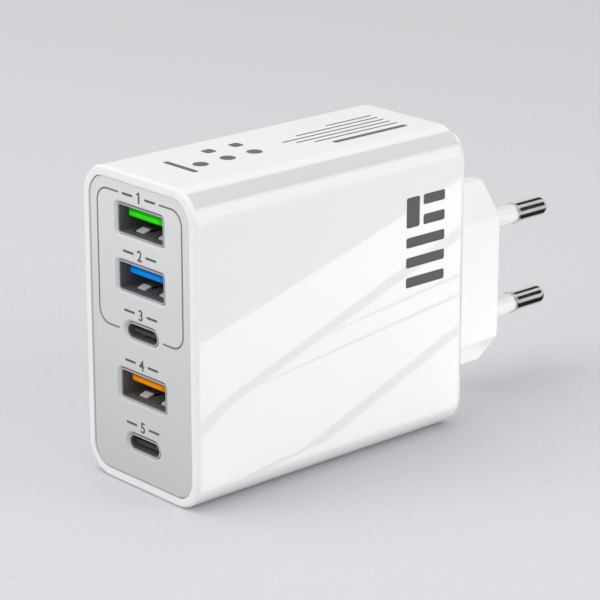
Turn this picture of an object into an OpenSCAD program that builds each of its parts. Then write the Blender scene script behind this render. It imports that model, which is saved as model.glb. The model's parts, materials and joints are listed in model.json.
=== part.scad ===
// Wall charger with three USB-A and two USB-C sockets and a two-pin mains plug.
// The sockets face -Y, the plug pins point along +Y, and the housing stands on the plane Z = 0.
// The origin is at the middle of the flat underside of the housing. All sizes are in millimetres.

/* [Housing] */
// Width of the housing across the socket side
body_w = 32; // [29:0.5:38]
// Depth of the housing from the socket side to the plug side
body_d = 67; // [66:1:80]
// Height of the housing
body_h = 60; // [54:0.5:68]
// Radius of the four long edges
corner_r = 6.2; // [5.5:0.1:7.5]
// Wall on the four long sides
wall = 2.4; // [2.2:0.1:2.6]
// Wall on the plug side
rear_wall = 2.4; // [2:0.1:2.8]
// Width of the rim that shows around the front panel
rim = 1.8; // [1.5:0.1:2]
// Rounding of the front edge of the rim
rim_round = 0.7; // [0.3:0.1:0.8]
// Rounding of the edge around the plug side
rear_round = 1.6; // [0.5:0.1:2]

/* [Front panel] */
// Thickness of the front panel
panel_t = 2; // [1.6:0.1:2.4]
// How far the panel sits behind the front of the rim
panel_set = 0.25; // [0.1:0.05:0.5]
// Gap between the panel and the rim all round
panel_gap = 0.08; // [0.05:0.01:0.15]
// Rounding of the panel's outer edge
panel_round = 0.25; // [0.1:0.05:0.4]
// Depth of the skirt that locates the panel in the housing
skirt_d = 3; // [2:0.5:5]
// Thickness of the skirt
skirt_t = 1.2; // [0.8:0.1:1.6]
// Gap between the skirt and the walls
skirt_gap = 0.1; // [0.05:0.05:0.2]
// Width of the bevel around each socket opening
bevel = 0.45; // [0.2:0.05:0.6]
// Gap between a socket's shell and its opening
port_gap = 0.12; // [0.08:0.01:0.2]

/* [Socket places] */
// Height of the lowest socket, a USB-C
c2_height = 8.8; // [8.5:0.1:9.5]
// Depth of the top socket, a USB-A, below the top of the housing
a1_drop = 9; // [8.5:0.1:9.5]
// Rise from the lowest socket to the lowest USB-A
rise_to_a3 = 10.8; // [10:0.1:11]
// Rise from the lowest USB-A to the upper USB-C
rise_to_c1 = 10.8; // [10:0.1:11]
// Rise from the upper USB-C to the middle USB-A
rise_to_a2 = 9.9; // [9:0.1:10.5]
// Rise from the middle USB-A to the top USB-A
rise_to_a1 = 10.7; // [10:0.1:11]
// How far the shells sit behind the face of the panel
shell_set = 0.35; // [0.1:0.05:0.8]
// Depth of every socket from its mouth to the port board
socket_d = 13.8; // [13:0.1:14.5]
// Thickness of the sheet steel of the shells
sheet = 0.3; // [0.25:0.05:0.35]

/* [USB-A sockets] */
// Width outside the shell
a_w = 13.1; // [12.9:0.1:13.3]
// Height outside the shell
a_h = 5.7; // [5.6:0.05:5.9]
// Outer corner radius of the shell
a_corner = 0.75; // [0.5:0.05:1]
// Width of the tongue
a_tongue_w = 11.1; // [10.8:0.1:11.4]
// Thickness of the tongue
a_tongue_t = 1.84; // [1.7:0.02:1.9]
// Clear height between the tongue and the top of the shell
a_above = 0.72; // [0.65:0.01:0.8]
// How far the tongue starts behind the mouth
a_tongue_set = 1.9; // [1.5:0.1:2.2]
// Depth of the moulding that closes the back of the shell
a_base_d = 3.2; // [2.5:0.1:4]
// Width of a contact
a_contact_w = 1; // [0.8:0.05:1.2]
// Thickness of a contact
a_contact_t = 0.25; // [0.2:0.01:0.3]
// Distance from the middle to the two inner contacts
a_contact_in = 1; // [0.9:0.05:1.1]
// Distance from the middle to the two outer contacts
a_contact_out = 3.5; // [3.3:0.05:3.7]
// How far a contact bows out of the tongue
a_contact_bow = 0.5; // [0.3:0.05:0.7]
// Distance from the front of the tongue to the tip of a contact
a_contact_tip = 0.8; // [0.5:0.1:1.2]
// Length of each slope of a contact's bow
a_contact_slope = 1.3; // [1:0.1:1.6]
// Length of the crest of a contact's bow
a_contact_crest = 0.8; // [0.4:0.1:1]
// Bevel of the front edges of the tongue
a_tongue_bevel = 0.3; // [0.1:0.05:0.5]
// Width of a grip spring
spring_w = 2.2; // [1.6:0.1:2.4]
// Distance from the middle to a grip spring
spring_x = 3.1; // [2.8:0.1:3.4]
// How far a grip spring stands into the socket
spring_rise = 0.45; // [0.3:0.05:0.55]
// Where the window of a spring starts behind the mouth
window_y = 2; // [1.6:0.1:2.4]
// Length of the window of a spring
window_d = 6.4; // [5.5:0.1:7]
// Distance from the front of the window to the crest of its spring
spring_crest = 2.3; // [1.8:0.1:3]
// Gap between a spring and the sides of its window
window_gap = 0.4; // [0.25:0.05:0.5]

/* [USB-C sockets] */
// Width outside the shell
c_w = 8.94; // [8.8:0.02:9.2]
// Height outside the shell
c_h = 3.16; // [3.1:0.02:3.3]
// Width of the tongue
c_tongue_w = 6.69; // [6.5:0.01:6.8]
// Thickness of the tongue
c_tongue_t = 0.7; // [0.65:0.01:0.75]
// How far the tongue starts behind the mouth
c_tongue_set = 0.75; // [0.5:0.05:1]
// Depth of the mouth down to the moulding
c_mouth_d = 6.2; // [6:0.1:6.6]
// Contacts on each side of the tongue
c_contacts = 12; // [6:2:12]
// Distance from the front of the tongue to the contacts
c_contact_set = 0.6; // [0.4:0.05:0.8]
// Spacing of the contacts
c_pitch = 0.5; // [0.48:0.01:0.52]
// Width of a contact
c_contact_w = 0.25; // [0.2:0.01:0.3]
// Thickness of a contact
c_contact_t = 0.1; // [0.08:0.01:0.12]

/* [Solder legs] */
// Width of a shell's solder leg
leg_w = 1.4; // [1:0.1:1.8]
// Distance from a USB-A socket's middle height to a leg
a_leg_z = 1.2; // [1:0.1:1.4]
// Distance from a USB-C socket's middle to a leg
c_leg_x = 2.2; // [1.8:0.1:2.5]
// How far the legs and contacts stand out behind the port board
leg_out = 0.8; // [0.5:0.1:1]
// Gap round a leg, contact or tab in its slot
slot_gap = 0.1; // [0.05:0.01:0.15]

/* [Plug] */
// Thickness of the plug block
plug_w = 13.7; // [13:0.1:14.5]
// Height of the plug block
plug_h = 38.3; // [37:0.1:39]
// Height of the flat sides of the plug block
plug_flat = 24.8; // [23:0.1:26]
// Width of the flat at the narrow ends of the plug block
plug_tip = 3.2; // [2.4:0.1:5]
// Corner radius of the plug block
plug_corner = 2; // [1:0.1:2.4]
// How far the plug block stands out of the housing
plug_out = 19.4; // [16:0.1:22]
// Rounding of the end face of the plug block
plug_round = 1; // [0.4:0.1:1]
// Height of the middle of the plug above the underside
plug_z = 24.5; // [24:0.1:30]
// Wall of the plug block round its hollow inside
block_wall = 1.8; // [1.6:0.1:1.9]
// Corner radius of that hollow
block_corner = 1; // [0.4:0.1:1.2]
// Thickness of the plug block's end wall
block_end = 3; // [2.5:0.1:5]
// Thickness of the web that joins the pin bosses
block_web = 1.6; // [1.2:0.1:2.4]
// Diameter of the boss round each pin
boss_d = 8; // [7.5:0.1:9]
// Gap between the plug block and its opening
plug_gap = 0.04; // [0.02:0.01:0.08]
// Thickness of the flange behind the rear wall
flange_t = 1.6; // [1.2:0.1:2]
// How far the flange reaches past the block
flange_w = 1.8; // [1:0.1:2]

/* [Pins] */
// Spacing of the two pins
pin_pitch = 19; // [18.6:0.1:19.4]
// Diameter of the bare end of a pin
pin_d = 4; // [3.9:0.02:4.1]
// Length of a pin outside the plug block
pin_out = 19.4; // [18.5:0.1:19.5]
// Length of the sleeved stretch outside the plug block
sleeve_out = 10; // [9.5:0.1:11]
// Diameter of the sleeve
sleeve_d = 3.8; // [3.7:0.02:3.88]
// Depth of the sleeve in the plug block
sleeve_in = 2; // [1:0.1:3]
// Diameter of a pin's core under the sleeve
core_d = 3; // [2.6:0.1:3.2]
// Rounding of the pin's tip
tip_round = 1.7; // [1:0.1:1.8]
// Diameter of the flared lip where the bare metal begins
lip_d = 4.4; // [4.32:0.02:4.6]
// Width of the lip's outer edge
lip_edge = 0.2; // [0.1:0.05:0.3]
// Length over which the lip fairs into the bare metal
lip_len = 0.7; // [0.6:0.05:1]
// Diameter of the collar that anchors a pin in the block
collar_d = 5.2; // [4.6:0.1:5.6]
// Length of the collar
collar_len = 1.5; // [1:0.1:2]
// Depth of the collar behind the end face
collar_in = 8; // [6:0.5:12]
// Gap between a pin and what holds it
pin_gap = 0.02; // [0.01:0.01:0.03]
// Length of a pin's tail behind the flange
tail = 2.5; // [2:0.1:3]

/* [Circuit boards] */
// Thickness of the port board
port_board_t = 1.2; // [1:0.1:1.6]
// Thickness of the main board
main_board_t = 1.6; // [1.2:0.1:1.8]
// Gap between the port board's edge and the walls
board_edge = 0.4; // [0.3:0.05:0.5]
// Room behind the main board for its solder side
solder_room = 2.4; // [2:0.1:2.6]
// Gap between the main board's long edges and the walls
main_edge = 0.6; // [0.5:0.05:0.8]
// Height of the guide ribs that hold the main board
guide_h = 2.2; // [1.6:0.1:2.4]
// Thickness of a guide rib
guide_t = 1.2; // [1:0.1:1.4]
// Gap between a guide rib and the main board
guide_gap = 0.15; // [0.1:0.01:0.2]
// Gap between the end of a rib and the port board
guide_stop = 0.2; // [0.1:0.05:0.3]
// Width of the tabs that join the main board to the port board
tab_w = 6; // [4:0.5:8]
// Height of the lower tab
tab_low = 15; // [12:0.5:18]
// Height of the upper tab
tab_high = 45; // [42:0.5:46]
// Thickness of the insulating sheet
film_t = 0.4; // [0.2:0.05:0.6]
// Thickness of the heat spreader
spreader_t = 0.8; // [0.5:0.1:0.8]
// Margin between the spreader and the ends of the room
spreader_end = 2; // [1:0.5:4]
// Corner radius of the spreader and the film
plate_corner = 3; // [2:0.5:4]

/* [Contact springs] */
// Width of a contact spring
clip_w = 4; // [3:0.5:4.5]
// Thickness of a contact spring
clip_t = 0.4; // [0.3:0.05:0.6]
// Length of the foot on the main board
clip_foot = 3; // [2:0.5:3]
// How far a contact spring reaches past the pin's middle
clip_over = 1.6; // [1:0.1:2.5]

/* [Transformer] */
// Length of the ferrite core
core_len = 26; // [25:0.5:27]
// Width of the ferrite core
core_w = 15; // [14:0.5:15.5]
// Thickness of the core's plates and outer legs
core_t = 3; // [2.5:0.1:3.2]
// Diameter of the core's middle post
post_d = 8; // [7:0.5:8.5]
// Clear height between the core's plates
core_room = 9.4; // [8.5:0.1:11]
// Gap between the core and the main board
core_lift = 0.8; // [0.5:0.1:1.2]
// Diameter of the coil former's flanges
flange_d = 19; // [18.4:0.1:19.4]
// Thickness of the former's flanges
former_flange = 1; // [0.8:0.1:1.2]
// Wall of the former's tube
former_wall = 0.9; // [0.7:0.1:1.1]
// Gap between the former and the core
former_gap = 0.1; // [0.05:0.05:0.15]
// Thickness of the former's side rails
rail_t = 2; // [1.5:0.1:2.2]
// Length of the former's side rails
rail_len = 18; // [14:0.5:20]
// Depth that the winding lies below the flanges' edge
winding_low = 0.6; // [0.4:0.1:1.5]
// Height of the transformer's middle above the underside
transformer_z = 20; // [18.5:0.5:20.5]
// Distance from the pin tails to the transformer's middle
transformer_back = 29.9; // [29:0.1:30.4]

/* [Capacitors] */
// Diameter of a mains capacitor
bulk_d = 10; // [9:0.5:10.5]
// Gap between the mains capacitors and the heat spreader
bulk_room = 2.4; // [1.5:0.1:6]
// Distance from the pin tails to the mains capacitors' middle
bulk_back = 14.7; // [14:0.1:14.9]
// Depth of the groove near the foot of a capacitor
groove = 0.4; // [0.2:0.1:0.5]
// Diameter of an output capacitor
out_d = 6.3; // [5:0.1:6.8]
// Height of an output capacitor
out_h = 11; // [9:0.5:14]
// Distance from the port board to the output capacitors' middle
out_front = 4.9; // [4.4:0.1:5.2]
// Thickness of the filter capacitor
film_cap_t = 7.5; // [6:0.5:8]
// Width of the filter capacitor
film_cap_w = 8; // [7:0.5:8.5]
// Height of the filter capacitor above the board
film_cap_h = 13; // [11:0.5:15]
// Height of the filter capacitor's middle
film_cap_z = 9; // [8.8:0.1:9.2]
// Diameter of the disc capacitor
disc_d = 8; // [6:0.5:8.5]
// Thickness of the disc capacitor
disc_t = 3; // [2:0.5:4]
// Rounding of the edges of the disc capacitor and the thermistor
disc_round = 0.6; // [0.3:0.1:0.9]
// Distance from the pin tails to the disc capacitor's middle
disc_back = 30; // [28:0.5:32]

/* [Mains parts] */
// Distance from the pin tails to the middle of the fuse, bridge and filter capacitor
mains_back = 5.2; // [5:0.1:5.4]
// Diameter of the fuse
fuse_d = 8.4; // [7.5:0.1:8.6]
// Height of the fuse
fuse_h = 7; // [6:0.5:9]
// Corner radius of the moulded cases
case_round = 0.8; // [0.4:0.1:1.2]
// Diameter of the inrush thermistor
thermistor_d = 7; // [6:0.5:8]
// Thickness of the inrush thermistor
thermistor_t = 3.5; // [3:0.5:4]
// Length of the bridge rectifier
bridge_len = 8.4; // [7:0.1:10]
// Width of the bridge rectifier
bridge_w = 6.5; // [5:0.1:7]
// Thickness of the bridge rectifier
bridge_t = 2.4; // [1.4:0.1:3]
// Outer diameter of the choke's ring
ring_d = 12; // [11:0.5:12.5]
// Bore of the choke's ring
ring_bore = 6; // [5.5:0.5:7]
// Thickness of the choke's ring
ring_t = 5; // [4:0.5:6]
// Thickness of the choke's windings
coil_t = 0.8; // [0.5:0.1:1]
// Angle that each choke winding covers
coil_span = 130; // [90:5:150]
// Distance from the pin tails to the choke's middle
choke_back = 16; // [15.8:0.1:16.2]

/* [Chips] */
// Width of a control chip's body
chip_w = 3.9; // [3:0.1:4.5]
// Length of a control chip's body
chip_len = 4.9; // [4:0.1:6]
// Thickness of a control chip's body
chip_t = 1.6; // [1.2:0.1:2]
// Leads on each long side of a control chip
chip_leads = 4; // [2:1:4]
// Leads on each long side of the optocoupler
opto_leads = 2; // [2:1:3]
// Spacing of a chip's leads
lead_pitch = 1.27; // [1:0.01:1.27]
// Width of a lead
lead_w = 0.4; // [0.3:0.05:0.5]
// How far a lead reaches out of the body
lead_out = 1; // [0.8:0.1:1.2]
// Thickness of a lead
lead_t = 0.2; // [0.15:0.05:0.3]
// Distance from the pin tails to the control chip and the power switch
primary_back = 26; // [25.5:0.1:26.5]
// Distance from the pin tails to the optocoupler and the rectifier chip
secondary_back = 33; // [32.5:0.1:33.5]
// Side of the power switch
switch_side = 6; // [5:0.5:7]
// Thickness of the power switch
switch_t = 1; // [0.8:0.1:1.2]
// Side of a converter inductor
inductor_side = 5.6; // [5:0.1:5.8]
// Thickness of a converter inductor
inductor_t = 3.8; // [3:0.1:4]
// Gap between the converter inductors and the heat spreader
inductor_gap = 0.2; // [0.1:0.05:0.3]

/* [Hidden] */
$fn = 64;

// Planes of the housing
front_y = -body_d / 2;
rear_y = body_d / 2;
mid_z = body_h / 2;
room_w = body_w - 2 * wall;
room_h = body_h - 2 * wall;
room_r = corner_r - wall;
rear_in = rear_y - rear_wall;
panel_y = front_y + panel_set;
panel_back = panel_y + panel_t;

// Heights of the sockets. Height that the rises leave over is shared out between them.
rises = [rise_to_a3, rise_to_c1, rise_to_a2, rise_to_a1];
rise_more = (body_h - a1_drop - c2_height - total(rises, 4)) / 4;
a3_height = c2_height + rise_to_a3 + rise_more;
c1_height = a3_height + rise_to_c1 + rise_more;
a2_height = c1_height + rise_to_a2 + rise_more;
a1_height = a2_height + rise_to_a1 + rise_more;
a_heights = [a1_height, a2_height, a3_height];
c_heights = [c1_height, c2_height];

// Planes of the sockets and boards
mouth_y = panel_y + shell_set;
port_board_y = mouth_y + socket_d;
port_board_back = port_board_y + port_board_t;
board_back_x = -room_w / 2 + solder_room;
board_x = board_back_x + main_board_t;

// Plug planes
flange_y = rear_in - flange_t;
tail_y = flange_y - tail;
plug_end = rear_y + plug_out;
pin_heights = [plug_z + pin_pitch / 2, plug_z - pin_pitch / 2];
plug_corners = [
  [plug_w / 2, -plug_flat / 2], [plug_w / 2, plug_flat / 2],
  [plug_tip / 2, plug_h / 2], [-plug_tip / 2, plug_h / 2],
  [-plug_w / 2, plug_flat / 2], [-plug_w / 2, -plug_flat / 2],
  [-plug_tip / 2, -plug_h / 2], [plug_tip / 2, -plug_h / 2]
];

// Heights of the parts on the main board, evenly spaced between what lies below and the upper ribs
ribs_low = wall + guide_h;
ribs_high = body_h - wall - guide_h;
core_top = transformer_z + core_len / 2;
spring_top = pin_heights[0] + clip_w / 2;
mains_column = even_row([bulk_d, bulk_d, bulk_d, ring_d + 2 * coil_t], ribs_low, ribs_high);
fuse_column = even_row([thermistor_t, fuse_d], spring_top, ribs_high);
chip_column = even_row([chip_len, switch_side, disc_t], core_top, ribs_high);
output_column = even_row([out_d, out_d], core_top, ribs_high);

// Room between the main board and the heat spreader
parts_room = room_w / 2 - spreader_t - board_x;

// A small overrun for cuts that leave a solid, and a thin slab for tapers
over = 0.5;
slab = 0.01;

// Sum of the first n values of a list
function total(v, n) = n == 0 ? 0 : v[n - 1] + total(v, n - 1);

// Middles of parts of the given lengths that stand evenly spaced between two ends
function even_row(lengths, low, high) =
  let (n = len(lengths), gap = (high - low - total(lengths, n)) / (n + 1))
  [for (i = [0 : n - 1]) low + (i + 1) * gap + total(lengths, i) + lengths[i] / 2];

// Corners of a rectangle about the origin, anticlockwise
function box_corners(w, h) = [[w / 2, -h / 2], [w / 2, h / 2], [-w / 2, h / 2], [-w / 2, -h / 2]];

// Direction from one point to another, and the direction to its left
function heading(a, b) = (b - a) / norm(b - a);
function left_of(v) = [-v[1], v[0]];

// Corners moved in from both of their sides by d, or out where d is negative
function inset(corners, d) = [
  for (i = [0 : len(corners) - 1])
    let (
      n = len(corners),
      before = left_of(heading(corners[(i + n - 1) % n], corners[i])),
      after = left_of(heading(corners[i], corners[(i + 1) % n]))
    )
    corners[i] + d * (before + after) / (1 + before * after)
];

// Flat outline with straight sides and round corners of radius r
module outline(corners, r) {
  n = len(corners);
  centres = inset(corners, r);
  polygon([
    for (i = [0 : n - 1])
      let (
        before = left_of(heading(corners[(i + n - 1) % n], corners[i])),
        after = left_of(heading(corners[i], corners[(i + 1) % n]))
      )
      each [centres[i] - r * before, centres[i] - r * after]
  ]);
  for (c = centres) translate(c) circle(r);
}

// Section of an edge strip: reach wide, depth high, rounded by r0 at its foot and r1 at its top
module edge_section(reach, depth, r0, r1) {
  translate([0, r0]) square([reach, depth - r0 - r1]);
  if (r0 > 0) {
    square([reach - r0, r0]);
    translate([reach - r0, r0]) intersection() {
      circle(r0);
      translate([0, -r0]) square(r0);
    }
  }
  if (r1 > 0) {
    translate([0, depth - r1]) square([reach - r1, r1]);
    translate([reach - r1, depth - r1]) intersection() {
      circle(r1);
      square(r1);
    }
  }
}

// Upright block with round corners, and with its foot and top edges rounded by r0 and r1.
// It is laid out as a middle, a strip along each side and a turned wedge at each corner.
module soft_box(w, h, r, depth, r0 = 0, r1 = 0) {
  in_w = w - 2 * r;
  in_h = h - 2 * r;
  translate([-in_w / 2, -in_h / 2, 0]) cube([in_w, in_h, depth]);
  for (turn = [0 : 90 : 270]) {
    side = turn % 180 == 0 ? [in_w, in_h] : [in_h, in_w];
    rotate([0, 0, turn]) translate([side[0] / 2, side[1] / 2, 0]) {
      rotate([90, 0, 0]) linear_extrude(side[1]) edge_section(r, depth, r0, r1);
      rotate_extrude(angle = 90) edge_section(r, depth, r0, r1);
    }
  }
}

// Upright block over a convex outline with round corners, and with its top edge rounded
module rounded_block(corners, r, depth, r1) {
  hull()
    for (c = inset(corners, r)) translate(c) rotate_extrude($fn = 48) edge_section(r, depth, 0, r1);
}

// Puts an upright shape with its height along +Y, from y0, about height z0
module along_y(y0, z0 = 0, x0 = 0) {
  translate([x0, y0, z0]) rotate([-90, 0, 0]) children();
}

// Extrudes a side view, drawn as depth and height, over a width centred on x = 0
module across_x(width) {
  translate([-width / 2, 0, 0]) rotate([90, 0, 90]) linear_extrude(width) children();
}

// Stands an upright shape on the main board, back from the pin tails, at height z
module on_board(back, z) {
  translate([board_x, tail_y - back, z]) rotate([0, 90, 0]) children();
}

// Stadium-shaped outline
module obround(w, h) {
  square([w - h, h], center = true);
  for (s = [-1, 1]) translate([s * (w - h) / 2, 0]) circle(h / 2);
}

module guide_ribs() {
  rib_y = port_board_back + guide_stop;
  for (x = [board_back_x - guide_gap - guide_t, board_x + guide_gap])
    for (z = [wall - over, body_h - wall - guide_h])
      translate([x, rib_y, z]) cube([guide_t, rear_in + over - rib_y, guide_h + over]);
}

module housing() {
  color([0.97, 0.97, 0.97]) {
    difference() {
      along_y(front_y, mid_z)
        soft_box(body_w, body_h, corner_r, body_d, rim_round, rear_round);
      along_y(front_y - over, mid_z) linear_extrude(panel_back - front_y + over)
        outline(box_corners(body_w - 2 * rim, body_h - 2 * rim), corner_r - rim);
      along_y(front_y, mid_z) linear_extrude(rear_in - front_y)
        outline(box_corners(room_w, room_h), room_r);
      along_y(rear_in - over, plug_z) linear_extrude(rear_wall + 2 * over)
        outline(inset(plug_corners, -plug_gap), plug_corner + plug_gap);
    }
    guide_ribs();
  }
}

// Opening in the panel with a bevel at its outer edge; its child is the outline grown by a value
module port_opening(z) {
  along_y(panel_y - over, z) linear_extrude(panel_t + 2 * over) children(0);
  hull() {
    along_y(panel_y - bevel, z) linear_extrude(slab) children(2);
    along_y(panel_y + bevel, z) linear_extrude(slab) children(1);
  }
}

module a_outline(grow) {
  outline(box_corners(a_w + 2 * grow, a_h + 2 * grow), a_corner + grow);
}

module c_outline(grow) {
  obround(c_w + 2 * grow, c_h + 2 * grow);
}

module front_panel() {
  plate_w = body_w - 2 * rim - 2 * panel_gap;
  plate_h = body_h - 2 * rim - 2 * panel_gap;
  skirt_w = room_w - 2 * skirt_gap;
  skirt_h = room_h - 2 * skirt_gap;
  color([0.83, 0.83, 0.84]) difference() {
    union() {
      along_y(panel_y, mid_z)
        soft_box(plate_w, plate_h, corner_r - rim - panel_gap, panel_t, panel_round, 0);
      along_y(panel_back, mid_z) linear_extrude(skirt_d) difference() {
        outline(box_corners(skirt_w, skirt_h), room_r - skirt_gap);
        outline(box_corners(skirt_w - 2 * skirt_t, skirt_h - 2 * skirt_t), room_r - skirt_gap - skirt_t);
      }
    }
    for (z = a_heights) port_opening(z) {
      a_outline(port_gap);
      a_outline(port_gap, $fn = 32);
      a_outline(port_gap + 2 * bevel, $fn = 32);
    }
    for (z = c_heights) port_opening(z) {
      c_outline(port_gap);
      c_outline(port_gap, $fn = 48);
      c_outline(port_gap + 2 * bevel, $fn = 48);
    }
  }
}

// Legs of a USB-A shell, grown all round for their slots
module a_legs(grow = 0) {
  for (sx = [-1, 1], sz = [-1, 1])
    translate([sx * (a_w - sheet) / 2, socket_d - over, sz * a_leg_z])
      translate([-sheet / 2 - grow, 0, -leg_w / 2 - grow])
        cube([sheet + 2 * grow, over + port_board_t + leg_out + grow, leg_w + 2 * grow]);
}

// Legs of a USB-C shell, grown all round for their slots
module c_legs(grow = 0) {
  for (sx = [-1, 1], sz = [-1, 1])
    translate([sx * c_leg_x, socket_d - over, sz * (c_h - sheet) / 2])
      translate([-leg_w / 2 - grow, 0, -sheet / 2 - grow])
        cube([leg_w + 2 * grow, over + port_board_t + leg_out + grow, sheet + 2 * grow]);
}

// Side view of a grip spring: it runs forward from the back of its window and curls at its tip
module spring_side() {
  root_y = window_y + window_d;
  crest_y = window_y + spring_crest;
  tip_y = window_y + window_gap;
  polygon([
    [root_y + over, -sheet], [root_y + over, 0], [root_y, 0],
    [crest_y + sheet, spring_rise], [crest_y - sheet, spring_rise],
    [tip_y, 0], [tip_y, -sheet],
    [crest_y - sheet / 2, spring_rise - sheet], [crest_y + sheet / 2, spring_rise - sheet],
    [root_y - sheet, -sheet]
  ]);
}

module usb_a_shell(z) {
  window_w = spring_w + 2 * window_gap;
  color([0.72, 0.72, 0.74]) translate([0, mouth_y, z]) {
    difference() {
      along_y(0) linear_extrude(socket_d) difference() {
        a_outline(0);
        a_outline(-sheet);
      }
      for (sx = [-1, 1])
        translate([sx * spring_x - window_w / 2, window_y, -a_h / 2 - over])
          cube([window_w, window_d, a_h + 2 * over]);
    }
    for (sx = [-1, 1], m = [0, 1])
      mirror([0, 0, m]) translate([sx * spring_x, 0, sheet - a_h / 2]) across_x(spring_w) spring_side();
    a_legs();
  }
}

// Side view of a USB-A contact under the tongue, grown for its channel; straight only if plain
module a_contact_side(grow = 0, plain = false) {
  under = a_h / 2 - sheet - a_above - a_tongue_t;
  base_y = socket_d - a_base_d;
  end_y = socket_d + port_board_t + leg_out;
  tip_y = a_tongue_set + a_contact_tip;
  crest_y = tip_y + a_contact_slope;
  fall_y = crest_y + a_contact_crest;
  foot_y = fall_y + a_contact_slope;
  bow = under - a_contact_bow;
  if (plain) {
    translate([base_y - over, under - a_contact_t - grow]) square([a_base_d + 2 * over, a_contact_t + grow]);
  } else {
    polygon([
      [tip_y, under], [crest_y, bow], [fall_y, bow], [foot_y, under], [end_y, under],
      [end_y, under - a_contact_t], [foot_y, under - a_contact_t],
      [fall_y, bow - a_contact_t], [crest_y, bow - a_contact_t], [tip_y, under - a_contact_t]
    ]);
  }
}

a_contact_places = [-a_contact_out, -a_contact_in, a_contact_in, a_contact_out];

module usb_a_tongue(z, tint) {
  top = a_h / 2 - sheet - a_above;
  low = top - a_tongue_t;
  base_y = socket_d - a_base_d;
  color(tint) translate([0, mouth_y, z]) difference() {
    union() {
      across_x(a_tongue_w) polygon([
        [base_y + over, low], [a_tongue_set + a_tongue_bevel, low], [a_tongue_set, low + a_tongue_bevel],
        [a_tongue_set, top - a_tongue_bevel], [a_tongue_set + a_tongue_bevel, top], [base_y + over, top]
      ]);
      along_y(base_y) linear_extrude(a_base_d) a_outline(-sheet - pin_gap);
    }
    for (x = a_contact_places)
      translate([x, 0, 0]) across_x(a_contact_w + 2 * pin_gap) a_contact_side(pin_gap, plain = true);
  }
}

module usb_a_contacts(z) {
  color([0.85, 0.68, 0.32]) translate([0, mouth_y, z])
    for (x = a_contact_places) translate([x, 0, 0]) across_x(a_contact_w) a_contact_side();
}

module usb_c_shell(z) {
  color([0.72, 0.72, 0.74]) translate([0, mouth_y, z]) {
    along_y(0) linear_extrude(socket_d) difference() {
      c_outline(0);
      c_outline(-sheet);
    }
    c_legs();
  }
}

module usb_c_tongue(z) {
  color([0.13, 0.13, 0.14]) translate([0, mouth_y, z]) {
    along_y(c_tongue_set) linear_extrude(c_mouth_d - c_tongue_set + over)
      obround(c_tongue_w, c_tongue_t);
    along_y(c_mouth_d) linear_extrude(socket_d - c_mouth_d) c_outline(-sheet - pin_gap);
  }
}

module usb_c_contacts(z) {
  contact_y = c_tongue_set + c_contact_set;
  color([0.85, 0.68, 0.32]) translate([0, mouth_y, z])
    for (i = [0 : c_contacts - 1], m = [0, 1])
      mirror([0, 0, m])
        translate([(i - (c_contacts - 1) / 2) * c_pitch - c_contact_w / 2, contact_y, c_tongue_t / 2])
          cube([c_contact_w, c_mouth_d - contact_y, c_contact_t]);
}

// Hollow of the plug block, open to the inside of the housing, round the pin bosses and their web
module block_pocket() {
  depth = plug_end - block_end - flange_y;
  along_y(flange_y - over, plug_z) linear_extrude(depth + over) difference() {
    outline(inset(plug_corners, block_wall), block_corner);
    for (z = pin_heights) translate([0, z - plug_z]) circle(d = boss_d);
    square([block_web, plug_h], center = true);
  }
}

module plug_block() {
  reach = plug_out + rear_wall;
  color([0.96, 0.96, 0.96]) difference() {
    union() {
      along_y(rear_in, plug_z) rounded_block(plug_corners, plug_corner, reach, plug_round);
      along_y(flange_y, plug_z) linear_extrude(flange_t)
        outline(inset(plug_corners, -flange_w), plug_corner + flange_w);
    }
    block_pocket();
    for (z = pin_heights) {
      along_y(flange_y - over, z) cylinder(d = core_d + 2 * pin_gap, h = plug_end - flange_y + 2 * over);
      along_y(plug_end - sleeve_in, z) cylinder(d = sleeve_d + 2 * pin_gap, h = sleeve_in + over);
      along_y(plug_end - collar_in - collar_len - pin_gap, z)
        cylinder(d = collar_d + 2 * pin_gap, h = collar_len + 2 * pin_gap);
    }
  }
}

// Half section of the lip: a narrow edge, then a hollow curve that meets the pin's side smoothly
module lip_section() {
  rise = (lip_d - pin_d) / 2;
  run = lip_len - lip_edge;
  curve_r = (rise * rise + run * run) / (2 * rise);
  difference() {
    square([lip_d / 2, lip_len]);
    translate([pin_d / 2 + curve_r, lip_len]) circle(curve_r, $fn = 128);
  }
}

// Pin turned from one rod: thin tail and core, anchoring collar, flared lip, bare end with a domed tip
module pin(z) {
  bare = pin_out - sleeve_out - lip_len;
  color([0.80, 0.80, 0.82]) {
    along_y(tail_y, z) cylinder(d = core_d, h = plug_end + sleeve_out - tail_y);
    along_y(plug_end - collar_in - collar_len, z) cylinder(d = collar_d, h = collar_len);
    along_y(plug_end + sleeve_out, z) rotate_extrude() {
      lip_section();
      translate([0, lip_len]) edge_section(pin_d / 2, bare, 0, tip_round);
    }
  }
}

module pin_sleeve(z) {
  color([0.93, 0.93, 0.94]) along_y(plug_end - sleeve_in, z) difference() {
    cylinder(d = sleeve_d, h = sleeve_in + sleeve_out);
    translate([0, 0, -over]) cylinder(d = core_d + 2 * pin_gap, h = sleeve_in + sleeve_out + 2 * over);
  }
}

// Bent strip soldered to the main board that the tail of a pin presses on
module contact_spring(z) {
  color([0.80, 0.55, 0.35]) translate([board_x, tail_y - clip_t, z - clip_w / 2]) {
    cube([clip_over - board_x, clip_t, clip_w]);
    translate([0, -clip_foot, 0]) cube([clip_t, clip_foot + clip_t, clip_w]);
  }
}

// Tabs at the front of the main board, grown all round for their slots
module board_tabs(grow = 0) {
  for (z = [tab_low, tab_high])
    translate([board_back_x - grow, port_board_y - leg_out, z - tab_w / 2 - grow])
      cube([main_board_t + 2 * grow, port_board_t + leg_out + over, tab_w + 2 * grow]);
}

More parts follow.
